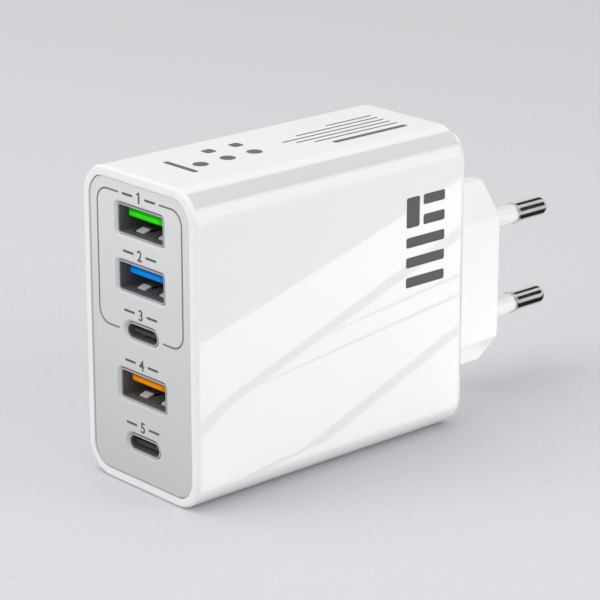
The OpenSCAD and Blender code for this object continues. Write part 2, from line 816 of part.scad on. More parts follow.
module port_board() {
  board_w = room_w - 2 * board_edge;
  board_h = room_h - 2 * board_edge;
  color([0.10, 0.35, 0.20]) difference() {
    along_y(port_board_y, mid_z) linear_extrude(port_board_t)
      outline(box_corners(board_w, board_h), room_r - board_edge);
    for (z = a_heights) translate([0, mouth_y, z]) {
      a_legs(slot_gap);
      for (x = a_contact_places)
        translate([x, socket_d, 0]) across_x(a_contact_w + 2 * slot_gap)
          translate([-over, a_h / 2 - sheet - a_above - a_tongue_t - a_contact_t - slot_gap])
            square([port_board_t + 2 * over, a_contact_t + 2 * slot_gap]);
    }
    for (z = c_heights) translate([0, mouth_y, z]) c_legs(slot_gap);
    board_tabs(slot_gap);
  }
}

module main_board() {
  color([0.10, 0.40, 0.22]) {
    translate([board_back_x, port_board_back, wall + main_edge])
      cube([main_board_t, flange_y - main_edge - port_board_back, room_h - 2 * main_edge]);
    board_tabs();
  }
}

// Flat plate against a side wall of the room, x0 being its lower face
module wall_plate(x0, thickness) {
  start = port_board_back + spreader_end;
  depth = flange_y - spreader_end - start;
  height = room_h - 2 * guide_h - 2 * spreader_end;
  translate([x0, start + depth / 2, mid_z]) rotate([0, 90, 0]) linear_extrude(thickness)
    outline(box_corners(height, depth), plate_corner);
}

module insulating_film() {
  color([0.90, 0.80, 0.35]) wall_plate(-room_w / 2, film_t);
}

module heat_spreader() {
  color([0.75, 0.75, 0.78]) wall_plate(room_w / 2 - spreader_t, spreader_t);
}

// Half of the ferrite core: plate, two outer legs and half of the middle post
module core_half() {
  translate([-core_len / 2, -core_w / 2, 0]) cube([core_len, core_w, core_t]);
  for (s = [-1, 1])
    translate([s * (core_len - core_t) / 2 - core_t / 2, -core_w / 2, 0])
      cube([core_t, core_w, core_t + core_room / 2]);
  cylinder(d = post_d, h = core_t + core_room / 2);
}

module transformer_core_lower() {
  color([0.20, 0.20, 0.21]) on_board(transformer_back, transformer_z) translate([0, 0, core_lift]) core_half();
}

module transformer_core_upper() {
  color([0.20, 0.20, 0.21]) on_board(transformer_back, transformer_z)
    translate([0, 0, core_lift + 2 * core_t + core_room]) mirror([0, 0, 1]) core_half();
}

tube_d = post_d + 2 * former_gap + 2 * former_wall;
former_h = core_room - 2 * former_gap;
former_low = core_lift + core_t + former_gap;

module coil_former() {
  rail_y = core_w / 2 + former_gap;
  color([0.15, 0.15, 0.16]) on_board(transformer_back, transformer_z) difference() {
    union() {
      translate([0, 0, former_low]) {
        cylinder(d = tube_d, h = former_h);
        cylinder(d = flange_d, h = former_flange);
        translate([0, 0, former_h - former_flange]) cylinder(d = flange_d, h = former_flange);
      }
      for (s = [0, 1]) mirror([0, s, 0])
        translate([-rail_len / 2, rail_y, 0]) cube([rail_len, rail_t, former_low + former_flange]);
    }
    cylinder(d = post_d + 2 * former_gap, h = former_low + former_h + over);
  }
}

module transformer_winding() {
  color([0.85, 0.65, 0.15]) on_board(transformer_back, transformer_z)
    translate([0, 0, former_low + former_flange]) difference() {
      cylinder(d = flange_d - 2 * winding_low, h = former_h - 2 * former_flange);
      translate([0, 0, -over]) cylinder(d = tube_d + 2 * former_gap, h = former_h);
    }
}

// Can with a groove near its foot and rounded edges
module can(d, h) {
  difference() {
    rotate_extrude() edge_section(d / 2, h, groove, groove);
    rotate_extrude() translate([d / 2 + groove / 4, 4 * groove]) circle(groove);
  }
}

module mains_capacitor(i) {
  color([0.12, 0.13, 0.16]) on_board(bulk_back, mains_column[i]) can(bulk_d, parts_room - bulk_room);
}

module output_capacitor(i) {
  color([0.75, 0.75, 0.77]) on_board(tail_y - port_board_back - out_front, output_column[i])
    can(out_d, out_h);
}

module filter_capacitor() {
  color([0.90, 0.75, 0.20]) on_board(mains_back, film_cap_z)
    soft_box(film_cap_t, film_cap_w, case_round, film_cap_h, 0, case_round / 2);
}

// Disc on edge, standing on the board
module disc_part(d, t) {
  translate([-t / 2, 0, d / 2]) rotate([0, 90, 0])
    rotate_extrude() edge_section(d / 2, t, disc_round, disc_round);
}

module disc_capacitor() {
  color([0.15, 0.35, 0.70]) on_board(disc_back, chip_column[2]) disc_part(disc_d, disc_t);
}

module fuse() {
  color([0.25, 0.22, 0.20]) on_board(mains_back, fuse_column[1])
    rotate_extrude() edge_section(fuse_d / 2, fuse_h, 0, case_round / 2);
}

module thermistor() {
  color([0.20, 0.30, 0.22]) on_board(mains_back, fuse_column[0]) disc_part(thermistor_d, thermistor_t);
}

module bridge_rectifier() {
  color([0.10, 0.10, 0.11]) on_board(mains_back, plug_z)
    translate([-bridge_len / 2, -bridge_w / 2, 0]) cube([bridge_len, bridge_w, bridge_t]);
}

module choke_ring() {
  color([0.30, 0.32, 0.30]) on_board(choke_back, mains_column[3]) translate([0, 0, coil_t]) difference() {
    cylinder(d = ring_d, h = ring_t);
    translate([0, 0, -over]) cylinder(d = ring_bore, h = ring_t + 2 * over);
  }
}

// Two windings that wrap opposite sides of the ring
module choke_windings() {
  wide = (ring_d - ring_bore) / 2 + 2 * former_gap;
  tall = ring_t + 2 * pin_gap;
  middle = (ring_d + ring_bore) / 4;
  color([0.75, 0.42, 0.20]) on_board(choke_back, mains_column[3]) translate([0, 0, coil_t + ring_t / 2])
    for (a = [0, 180])
      rotate([0, 0, a - coil_span / 2]) rotate_extrude(angle = coil_span) translate([middle, 0]) difference() {
        square([wide + 2 * coil_t - 2 * former_gap, tall + 2 * coil_t - 2 * pin_gap], center = true);
        square([wide, tall], center = true);
      }
}

// Flat chip with a row of leads on two sides
module chip(leads) {
  translate([-chip_len / 2, -chip_w / 2, lead_t / 2]) cube([chip_len, chip_w, chip_t - lead_t / 2]);
  for (i = [0 : leads - 1])
    translate([(i - (leads - 1) / 2) * lead_pitch - lead_w / 2, -chip_w / 2 - lead_out, 0])
      cube([lead_w, chip_w + 2 * lead_out, lead_t]);
}

module control_chip() {
  color([0.09, 0.09, 0.10]) on_board(primary_back, chip_column[0]) chip(chip_leads);
}

module optocoupler() {
  color([0.92, 0.92, 0.90]) on_board(secondary_back, chip_column[0]) chip(opto_leads);
}

module rectifier_chip() {
  color([0.09, 0.09, 0.10]) on_board(secondary_back, chip_column[1]) chip(chip_leads);
}

module power_switch() {
  color([0.09, 0.09, 0.10]) on_board(primary_back, chip_column[1])
    translate([-switch_side / 2, -switch_side / 2, 0]) cube([switch_side, switch_side, switch_t]);
}

// Inductor behind the port board, midway between two sockets and close to the heat spreader
module converter_inductor(z_above, z_below) {
  x = room_w / 2 - spreader_t - inductor_gap - inductor_side / 2;
  color([0.35, 0.35, 0.36]) along_y(port_board_back, (z_above + z_below) / 2, x)
    soft_box(inductor_side, inductor_side, case_round, inductor_t, 0, case_round / 2);
}

housing();
front_panel();
plug_block();
pin(pin_heights[0]);  // pin_upper
pin(pin_heights[1]);  // pin_lower
pin_sleeve(pin_heights[0]);  // pin_sleeve_upper
pin_sleeve(pin_heights[1]);  // pin_sleeve_lower
contact_spring(pin_heights[0]);  // contact_spring_upper
contact_spring(pin_heights[1]);  // contact_spring_lower
usb_a_shell(a1_height);  // usb_a1_shell
usb_a_tongue(a1_height, [0.24, 1, 0]);  // usb_a1_tongue
usb_a_contacts(a1_height);  // usb_a1_contacts
usb_a_shell(a2_height);  // usb_a2_shell
usb_a_tongue(a2_height, [0, 0.59, 1]);  // usb_a2_tongue
usb_a_contacts(a2_height);  // usb_a2_contacts
usb_a_shell(a3_height);  // usb_a3_shell
usb_a_tongue(a3_height, [1, 0.6, 0]);  // usb_a3_tongue
usb_a_contacts(a3_height);  // usb_a3_contacts
usb_c_shell(c1_height);  // usb_c1_shell
usb_c_tongue(c1_height);  // usb_c1_tongue
usb_c_contacts(c1_height);  // usb_c1_contacts
usb_c_shell(c2_height);  // usb_c2_shell
usb_c_tongue(c2_height);  // usb_c2_tongue
usb_c_contacts(c2_height);  // usb_c2_contacts
port_board();
main_board();
insulating_film();
heat_spreader();
transformer_core_lower();
transformer_core_upper();
coil_former();
transformer_winding();
mains_capacitor(0);  // mains_capacitor_1
mains_capacitor(1);  // mains_capacitor_2
mains_capacitor(2);  // mains_capacitor_3
filter_capacitor();
disc_capacitor();
output_capacitor(0);  // output_capacitor_1
output_capacitor(1);  // output_capacitor_2
fuse();
thermistor();
bridge_rectifier();
choke_ring();
choke_windings();
control_chip();
optocoupler();
rectifier_chip();
power_switch();
converter_inductor(a1_height, a2_height);  // converter_inductor_1
converter_inductor(c1_height, a3_height);  // converter_inductor_2
converter_inductor(a3_height, c2_height);  // converter_inductor_3
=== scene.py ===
# Looks and studio for a wall charger with five sockets and a two-pin mains plug.
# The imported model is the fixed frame. Lengths are in metres, +Z is up, the sockets face -Y,
# the plug pins point along +Y and the charger stands on the plane Z = 0.

import json
import math

import bmesh
import bpy
from bpy.props import FloatProperty, FloatVectorProperty, IntProperty, PointerProperty
from mathutils import Matrix, Vector


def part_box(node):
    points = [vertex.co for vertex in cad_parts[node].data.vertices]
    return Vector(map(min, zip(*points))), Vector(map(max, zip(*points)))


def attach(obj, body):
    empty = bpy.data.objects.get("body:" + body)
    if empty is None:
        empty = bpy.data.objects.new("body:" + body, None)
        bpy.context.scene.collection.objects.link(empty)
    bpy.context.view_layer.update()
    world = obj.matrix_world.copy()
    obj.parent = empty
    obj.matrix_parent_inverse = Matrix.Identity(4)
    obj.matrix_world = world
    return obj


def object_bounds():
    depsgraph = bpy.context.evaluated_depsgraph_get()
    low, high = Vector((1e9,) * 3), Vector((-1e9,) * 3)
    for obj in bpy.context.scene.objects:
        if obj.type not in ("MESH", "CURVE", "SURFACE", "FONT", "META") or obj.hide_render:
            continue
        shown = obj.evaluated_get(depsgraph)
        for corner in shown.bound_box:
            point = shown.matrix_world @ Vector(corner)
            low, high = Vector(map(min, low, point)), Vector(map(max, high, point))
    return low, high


bl_info = {
    "name": "Wall Charger",
    "version": (1, 0, 0),
    "blender": (4, 5, 0),
    "location": "3D View > Sidebar > Charger",
    "description": "Gives a packed wall charger its finishes, its print and a studio",
    "category": "Object",
}

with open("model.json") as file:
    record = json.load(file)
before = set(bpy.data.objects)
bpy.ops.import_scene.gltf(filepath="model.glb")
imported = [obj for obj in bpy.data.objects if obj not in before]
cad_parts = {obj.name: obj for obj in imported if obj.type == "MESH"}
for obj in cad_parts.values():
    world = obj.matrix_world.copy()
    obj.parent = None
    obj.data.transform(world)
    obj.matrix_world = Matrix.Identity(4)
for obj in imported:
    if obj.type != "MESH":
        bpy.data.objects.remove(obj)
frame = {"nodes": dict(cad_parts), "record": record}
cad_low, cad_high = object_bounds()
body_low, body_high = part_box("housing")
panel_low, panel_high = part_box("front_panel")
SOCKETS = ("usb_a1", "usb_a2", "usb_c1", "usb_a3", "usb_c2")
SLOT_OF_NODE = {part["node"]: part["material_slot"] for part in frame["record"]["subparts"]}
MM = 0.001
NOISE_RANGE = (0.35, 0.65)
WIDE_RANGE = (0.2, 0.8)

# Print on the top, in mm. Rows: middle across, front, rear, width. Dots: across, along, radius.
TOP_ROWS = (
    (6.2, 8.0, 26.6, 1.25), (3.7, 5.6, 26.6, 0.5), (1.9, 2.6, 26.6, 0.5), (0.1, 0.8, 26.6, 0.5),
    (-1.7, 5.8, 26.6, 0.5), (-3.5, 15.0, 26.6, 0.5), (0.4, -24.4, -23.2, 9.0),
    (-4.4, -14.4, -12.0, 2.4), (-4.4, -7.9, -5.5, 2.4),
)
TOP_DOTS = ((1.4, -20.0, 1.5), (1.4, -13.6, 1.5), (1.4, -7.2, 1.5))

# Light cards on the floor. Each corner is given by the place on the +X side that mirrors it to the
# camera: along +Y and up, in mm. The wide card lies under the others and reaches past the side.
CARD_FRONT, CARD_REAR, CARD_FOOT = -33.5, 33.4, 1.2
WIDE_CARD = ((-38.0, 0.0), (38.0, 0.0), (38.0, 150.0), (-38.0, 150.0))
STREAK_CARDS = (
    ((CARD_FRONT, 32.2), (CARD_REAR, 50.9), (CARD_REAR, 41.8), (-26.0, 21.3), (CARD_FRONT, 17.4)),
    ((-1.7, 27.6), (CARD_REAR, 39.2), (CARD_REAR, 32.05)),
    ((-18.4, 21.9), (-2.5, 27.3), (CARD_REAR, 31.2), (CARD_REAR, 28.0)),
    (
        (CARD_FRONT, 14.6), (-26.0, 19.2), (-19.0, 21.5), (CARD_REAR, 27.2), (CARD_REAR, 22.1), (8.5, 12.8),
        (-22.0, CARD_FOOT), (CARD_FRONT, CARD_FOOT),
    ),
    ((CARD_REAR, 19.9), (8.5, 10.4), (-15.5, CARD_FOOT), (CARD_REAR, CARD_FOOT)),
)

# Flags that the round top edge and the pins mirror as dark bands: name and the turns, in degrees up
# from +X, between which the round surface mirrors the flag.
EDGE_BANDS = (("edge_soft_flag", 28, 64), ("edge_flag", 32, 61))
PIN_BANDS = (("high_flag", 60, 79), ("middle_flag", 22, 40), ("floor_flag", -27, -4))

# Lamps aimed at the charger's middle: name, place, and the settings for side and power.
LAMPS = (
    ("key_lamp", (-0.30, -0.32, 1.10), "lamp_side", "key_power"),
    ("front_lamp", (-0.25, -1.10, 0.40), "lamp_side", "front_power"),
    ("side_lamp", (1.00, 0.25, 0.45), "lamp_side", "side_power"),
    ("low_lamp", (0.55, 0.32, 0.04), "low_side", "low_power"),
)


def colour_property(name, description, default):
    """Colour property in scene linear values."""
    return FloatVectorProperty(
        name=name, description=description, default=default, subtype="COLOR", size=3, min=0.0, max=1.0
    )


def length_property(name, description, default, low=0.0, high=0.2):
    """Length property in metres."""
    return FloatProperty(
        name=name, description=description, default=default, min=low, max=high, unit="LENGTH", precision=5
    )


def power_property(name, description, default):
    """Lamp power property in watts."""
    return FloatProperty(name=name, description=description, default=default, min=0.0, unit="POWER")


def glow_property(name, description, default):
    """Strength of a light or a card that glows, where 1 is white."""
    return FloatProperty(name=name, description=description, default=default, min=0.0, max=2.0)


def count_property(name, description, default, low, high):
    """Whole number of like pieces."""
    return IntProperty(name=name, description=description, default=default, min=low, max=high)


class ChargerColours(bpy.types.PropertyGroup):
    """Colours of the charger's finishes."""

    shell: colour_property("Shell", "Glossy white moulding of the housing", (0.87, 0.87, 0.875))
    panel: colour_property("Panel", "Matt grey moulding around the sockets", (0.70, 0.70, 0.705))
    plug: colour_property("Plug block", "White moulding that holds the pins", (0.86, 0.86, 0.86))
    sleeve: colour_property("Sleeve", "Insulating sleeve of a pin", (0.80, 0.80, 0.80))
    nickel: colour_property("Nickel", "Plating of the pins", (0.76, 0.75, 0.73))
    steel: colour_property("Steel", "Sheet steel of the socket shells", (0.60, 0.60, 0.62))
    green: colour_property("Green tongue", "Tongue of the top socket", (0.03, 0.98, 0.0))
    blue: colour_property("Blue tongue", "Tongue of the second socket", (0.0, 0.31, 1.0))
    orange: colour_property("Orange tongue", "Tongue of the fourth socket", (1.0, 0.32, 0.0))
    ink: colour_property("Ink", "Dark grey ink of the print", (0.085, 0.085, 0.09))
    line_ink: colour_property("Line ink", "Grey ink of the frame line", (0.15, 0.15, 0.155))


class ChargerSizes(bpy.types.PropertyGroup):
    """Sizes and places of the print on the charger."""

    ink_thickness: length_property(
        "Ink thickness", "How far ink stands off its face", 0.00001, 0.000001, 0.0001
    )
    line_width: length_property("Line width", "Width of the frame line on the panel", 0.00036, 0.0001, 0.001)
    line_half: length_property("Frame half width", "Distance from the middle to the frame line", 0.0119)
    line_low: length_property("Frame foot", "Height of the frame line's lower run", 0.0302)
    line_high: length_property("Frame top", "Height of the frame line's upper run", 0.0559)
    line_corner: length_property("Frame corner", "Corner radius of the frame line", 0.0028)
    top_gap: length_property("Top gap", "Half of the break in the frame's upper run", 0.0057)
    foot_gap: length_property("Foot gap", "Half of the break in the frame's lower run", 0.0062)
    number_height: length_property("Number height", "Height of a socket's number", 0.0021, 0.001, 0.004)
    number_rise: length_property("Number rise", "Distance from a socket's rim to its number", 0.0010)
    number_weight: length_property(
        "Number weight", "How far a number's strokes are thickened", 0.00006, 0.0, 0.0003
    )
    dash_in: length_property("Dash start", "Distance from the middle to the dashes beside a number", 0.0017)
    dash_length: length_property("Dash length", "Length of each of those dashes", 0.0030)
    dash_width: length_property("Dash width", "Width of each of those dashes", 0.00046, 0.0001, 0.001)
    bar_count: count_property("Bars", "Bars of the mark on the side", 5, 2, 9)
    bar_foot: length_property("Bar foot", "Height of the lowest bar", 0.0318)
    bar_top: length_property("Bar top", "Height of the highest bar's upper edge", 0.0494)
    bar_front: length_property("Bar front", "Distance of the bars' even ends from the middle", 0.0275)
    bar_length: length_property("Bar length", "Length of a full bar", 0.0100)
    bar_width: length_property("Bar width", "Width of a bar of the side mark", 0.0020)
    block_bars: count_property("Block bars", "Upper bars that the block shortens", 2, 1, 8)
    block_width: length_property("Block width", "Width of the block beside the upper bars", 0.0034)
    block_gap: length_property("Block gap", "Distance from the block to its bars", 0.0010)


class ChargerStudio(bpy.types.PropertyGroup):
    """Camera, light and floor."""

    camera_place: FloatVectorProperty(
        name="Camera", description="Place of the camera", default=(0.35098, -0.31124, 0.18604), unit="LENGTH"
    )
    azimuth: FloatProperty(
        name="Azimuth", description="Turn of the camera round the charger",
        default=math.radians(47.96), unit="ROTATION",
    )
    elevation: FloatProperty(
        name="Elevation", description="How far the camera looks down",
        default=math.radians(18.45), unit="ROTATION",
    )
    lens: FloatProperty(
        name="Lens", description="Focal length on a 36 mm sensor", default=157.9, unit="CAMERA"
    )
    sky: glow_property("Sky", "Strength of the even light on the charger", 0.68)
    key_power: power_property("Key", "Power of the upper left lamp", 6.5)
    front_power: power_property("Front", "Power of the low front lamp", 5.3)
    side_power: power_property("Side", "Power of the lamp on the right", 3.45)
    low_power: power_property("Low", "Power of the low lamp beside the plug", 1.35)
    foot_power: power_property("Foot", "Power of the lamp on the floor under the plug", 0.013)
    lamp_side: length_property("Lamp side", "Side of each large lamp", 1.1, 0.1, 2.0)
    low_side: length_property("Low lamp side", "Side of the low lamp", 0.3, 0.1, 2.0)
    foot_side: length_property("Foot lamp side", "Side of the lamp on the floor", 0.08, 0.01, 0.5)
    card_glow: glow_property("Card", "Strength of the light cards at their rear end", 1.17)
    card_base: glow_property("Card base", "Strength of the wide card under them", 0.64)
    grey_flag: glow_property("Grey flag", "Strength of the flag beside the top edge's band", 0.55)
    black_flag: glow_property("Black flag", "Strength of the dark flags", 0.02)
    floor: colour_property("Floor", "Pale floor", (0.66, 0.67, 0.69))


def new_graph(name):
    """New material with a Principled shader wired to its output."""
    material = bpy.data.materials.new(name)
    material.use_nodes = True
    tree = material.node_tree
    tree.nodes.clear()
    output = tree.nodes.new("ShaderNodeOutputMaterial")
    shader = tree.nodes.new("ShaderNodeBsdfPrincipled")
    tree.links.new(shader.outputs["BSDF"], output.inputs["Surface"])
    return material, tree, shader


def object_vector(tree, stretch=(1.0, 1.0, 1.0)):
    """Place on the object in metres, stretched along each axis."""
    place = tree.nodes.new("ShaderNodeTexCoord")
    mapping = tree.nodes.new("ShaderNodeMapping")
    mapping.inputs["Scale"].default_value = stretch
    tree.links.new(place.outputs["Object"], mapping.inputs["Vector"])
    return mapping.outputs["Vector"]


def noise(tree, vector, feature, detail=2.0):
    """Noise with features of about the given size in metres."""
    node = tree.nodes.new("ShaderNodeTexNoise")
    node.inputs["Scale"].default_value = 1.0 / feature
    node.inputs["Detail"].default_value = detail
    tree.links.new(vector, node.inputs["Vector"])
    return node.outputs["Fac"]


def remap(tree, value, low, high, from_low=NOISE_RANGE[0], from_high=NOISE_RANGE[1]):
    """The value's range, that of most noise unless told, spread from low to high."""
    node = tree.nodes.new("ShaderNodeMapRange")
    node.inputs["From Min"].default_value = from_low
    node.inputs["From Max"].default_value = from_high
    node.inputs["To Min"].default_value = low
    node.inputs["To Max"].default_value = high
    tree.links.new(value, node.inputs["Value"])
    return node.outputs["Result"]


def tint(tree, value, first, second):
    """Colour that runs from first to second with the value."""
    node = tree.nodes.new("ShaderNodeMix")
    node.data_type = "RGBA"
    node.inputs["A"].default_value = (*first, 1.0)
    node.inputs["B"].default_value = (*second, 1.0)
    tree.links.new(value, node.inputs["Factor"])
    return node.outputs["Result"]


def bump(tree, height, depth, normal=None):
    """Surface relief of the given depth in metres."""
    node = tree.nodes.new("ShaderNodeBump")
    node.inputs["Distance"].default_value = depth
    tree.links.new(height, node.inputs["Height"])
    if normal:
        tree.links.new(normal, node.inputs["Normal"])
    return node.outputs["Normal"]


def shade(colour, share):
    """Colour, or other values, scaled by a share."""
    return tuple(channel * share for channel in colour)


def moulded_plastic(name, colour, roughness, grain, depth, gloss_coat=0.0, coat_index=1.5):
    """Moulded plastic: fine grain from the mould, faint flow marks and uneven sheen."""
    plastic_index, coat_roughness = 1.52, 0.02
    flow_size, flow_stretch, flow_share, flow_depth = 14 * MM, (1.0, 0.35, 1.0), 0.985, 0.006 * MM
    sheen_size, sheen_spread = 5 * MM, (0.85, 1.15)
    material, tree, shader = new_graph(name)
    place = object_vector(tree)
    flow = noise(tree, object_vector(tree, flow_stretch), flow_size, 1.0)
    flow_tint = remap(tree, flow, 0.0, 1.0, *WIDE_RANGE)
    tree.links.new(tint(tree, flow_tint, shade(colour, flow_share), colour), shader.inputs["Base Color"])
    fine = noise(tree, place, grain, 4.0)
    sheen = noise(tree, place, sheen_size, 1.5)
    uneven = remap(tree, sheen, *shade(sheen_spread, roughness), *WIDE_RANGE)
    tree.links.new(uneven, shader.inputs["Roughness"])
    swell = bump(tree, flow, flow_depth)
    tree.links.new(bump(tree, fine, depth, swell), shader.inputs["Normal"])
    shader.inputs["IOR"].default_value = plastic_index
    shader.inputs["Coat Weight"].default_value = gloss_coat
    shader.inputs["Coat Roughness"].default_value = coat_roughness
    shader.inputs["Coat IOR"].default_value = coat_index
    return material


def plated_metal(name, colour, roughness, streaks, streak_size, depth):
    """Metal with fine lines drawn out along the axes where streaks is small."""
    cloud_size, cloud_share, line_spread = 3 * MM, 0.93, (0.7, 1.3)
    material, tree, shader = new_graph(name)
    lines = noise(tree, object_vector(tree, streaks), streak_size, 3.0)
    cloud = noise(tree, object_vector(tree), cloud_size, 3.0)
    worn = tint(tree, remap(tree, cloud, 0.0, 1.0), shade(colour, cloud_share), colour)
    tree.links.new(worn, shader.inputs["Base Color"])
    tree.links.new(remap(tree, lines, *shade(line_spread, roughness)), shader.inputs["Roughness"])
    tree.links.new(bump(tree, lines, depth), shader.inputs["Normal"])
    shader.inputs["Metallic"].default_value = 1.0
    return material


def node_axis(tree, axis):
    """Place on the object along one axis, in metres."""
    place = tree.nodes.new("ShaderNodeTexCoord")
    axes = tree.nodes.new("ShaderNodeSeparateXYZ")
    tree.links.new(place.outputs["Object"], axes.inputs["Vector"])
    return axes.outputs[axis]


def near(tree, value, middle, reach):
    """One where the value lies within reach of the middle, else zero."""
    node = tree.nodes.new("ShaderNodeMath")
    node.operation = "COMPARE"
    node.inputs[1].default_value = middle
    node.inputs[2].default_value = reach
    tree.links.new(value, node.inputs[0])
    return node.outputs["Value"]


def both(tree, first, second, operation="MULTIPLY"):
    """Two values combined by one operation."""
    node = tree.nodes.new("ShaderNodeMath")
    node.operation = operation
    tree.links.new(first, node.inputs[0])
    tree.links.new(second, node.inputs[1])
    return node.outputs["Value"]


def blend_base(tree, shader, factor, colour):
    """Blends a plain colour over the shader's base colour."""
    over = tree.nodes.new("ShaderNodeMix")
    over.data_type = "RGBA"
    over.inputs["B"].default_value = (*colour, 1.0)
    tree.links.new(shader.inputs["Base Color"].links[0].from_socket, over.inputs["A"])
    tree.links.new(factor, over.inputs["Factor"])
    tree.links.new(over.outputs["Result"], shader.inputs["Base Color"])


def shader_of(material):
    """The Principled shader of a material."""
    return next(n for n in material.node_tree.nodes if n.type == "BSDF_PRINCIPLED")


def socket_sheet(name, colour):
    """Plated sheet of the socket shells, with painted shade that darkens it from the mouth inwards and a
    painted glint, near white, on the grip springs.
    """
    # The first colour is the painted shade deep in the shell, the second the painted glint on the grip
    # springs.
    dark, painted_glint, inner_metallic = (0.15, 0.15, 0.155), (0.95, 0.95, 0.96), 0.15
    material = plated_metal(name, colour, 0.40, (1.0, 0.05, 1.0), 0.06 * MM, 0.0008 * MM)
    tree, shader = material.node_tree, shader_of(material)
    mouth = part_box("usb_a1_shell")[0].y
    inside_shade_start, inside_shade_full = mouth + 0.02 * MM, mouth + 0.4 * MM
    # Painted shade: the steel darkens from the mouth inwards, where the socket shades it.
    inside = remap(tree, node_axis(tree, "Y"), 0.0, 1.0, inside_shade_start, inside_shade_full)
    blend_base(tree, shader, inside, dark)
    # Painted glint: near white patches on the grip springs, just past the mouth.
    spring_x, spring_half, spring_y, spring_reach = 3.1 * MM, 1.15 * MM, mouth + 3.05 * MM, 0.8 * MM
    aside = tree.nodes.new("ShaderNodeMath")
    aside.operation = "ABSOLUTE"
    tree.links.new(node_axis(tree, "X"), aside.inputs[0])
    spring_glint = both(
        tree,
        near(tree, aside.outputs["Value"], spring_x, spring_half),
        near(tree, node_axis(tree, "Y"), spring_y, spring_reach),
    )
    blend_base(tree, shader, spring_glint, painted_glint)
    tree.links.new(remap(tree, inside, 1.0, inner_metallic, 0.0, 1.0), shader.inputs["Metallic"])
    return material


def shaded_panel(name, colour):
    """Matt panel with painted shade, a little darker towards its foot."""
    foot_shade_blend, foot_shade_share = 0.62, 0.62
    material = moulded_plastic(name, colour, 0.50, 0.16 * MM, 0.006 * MM)
    tree = material.node_tree
    # Painted shade: the grey darkens towards the panel's foot, as the light falls off.
    painted_shade_fall = remap(tree, node_axis(tree, "Z"), foot_shade_blend, 0.0, panel_low.z, panel_high.z)
    blend_base(tree, shader_of(material), painted_shade_fall, shade(colour, foot_shade_share))
    return material


def socket_tongue(name, colour, node):
    """Moulded tongue of a node, with painted shadow along its upper edge and its +X end, and painted shade
    that turns it dark at its root.
    """
    edge_shadow_start, end_shadow_start, soft = 0.95 * MM, 2.8 * MM, 0.15 * MM
    edge_shadow_blend, end_shadow_blend, shadow_share = 0.85, 0.5, 0.35
    root_shade_start, root_shade_full, root_shade_colour, shine = 1.2 * MM, 2.4 * MM, (0.02, 0.02, 0.022), 0.05
    material = moulded_plastic(name, colour, 0.45, 0.15 * MM, 0.003 * MM)
    tree, shader = material.node_tree, shader_of(material)
    low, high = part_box(node)
    # Painted shadow: a darker strip along the upper edge and at the +X end, where the opening's edges shade
    # the tongue.
    edge = (low.z + high.z) / 2 + edge_shadow_start
    upper = remap(tree, node_axis(tree, "Z"), 0.0, edge_shadow_blend, edge, edge + soft)
    end = remap(tree, node_axis(tree, "X"), 0.0, end_shadow_blend, end_shadow_start, end_shadow_start + soft)
    blend_base(tree, shader, both(tree, upper, end, "MAXIMUM"), shade(colour, shadow_share))
    # Painted shade: the root, deep in the socket, turns near black.
    root = remap(tree, node_axis(tree, "Y"), 0.0, 1.0, low.y + root_shade_start, low.y + root_shade_full)
    blend_base(tree, shader, root, root_shade_colour)
    shader.inputs["Specular IOR Level"].default_value = shine
    return material


def printed_ink(name, colour):
    """Pad-printed ink with a faintly broken film."""
    speck_size, thin_share, thick_share = 0.12 * MM, 0.85, 1.12
    material, tree, shader = new_graph(name)
    specks = noise(tree, object_vector(tree), speck_size, 4.0)
    film = tint(tree, remap(tree, specks, 0.0, 1.0), shade(colour, thin_share), shade(colour, thick_share))
    tree.links.new(film, shader.inputs["Base Color"])
    tree.links.new(remap(tree, specks, 0.38, 0.55), shader.inputs["Roughness"])
    tree.links.new(bump(tree, specks, 0.002 * MM), shader.inputs["Normal"])
    return material


def circuit_laminate(name):
    """Green solder mask over copper tracks."""
    first_green, second_green = (0.010, 0.115, 0.040), (0.008, 0.095, 0.034)
    track_green = (0.018, 0.210, 0.075)
    track_scale, track_width, track_depth, mask_size = 220.0, 0.03, 0.03 * MM, 2 * MM
    material, tree, shader = new_graph(name)
    tracks = tree.nodes.new("ShaderNodeTexBrick")
    tracks.inputs["Color1"].default_value = (*first_green, 1.0)
    tracks.inputs["Color2"].default_value = (*second_green, 1.0)
    tracks.inputs["Mortar"].default_value = (*track_green, 1.0)
    tracks.inputs["Scale"].default_value = track_scale
    tracks.inputs["Mortar Size"].default_value = track_width
    tree.links.new(object_vector(tree), tracks.inputs["Vector"])
    tree.links.new(tracks.outputs["Color"], shader.inputs["Base Color"])
    tree.links.new(bump(tree, tracks.outputs["Fac"], track_depth), shader.inputs["Normal"])
    mask = noise(tree, object_vector(tree), mask_size, 3.0)
    tree.links.new(remap(tree, mask, 0.25, 0.42), shader.inputs["Roughness"])
    return material


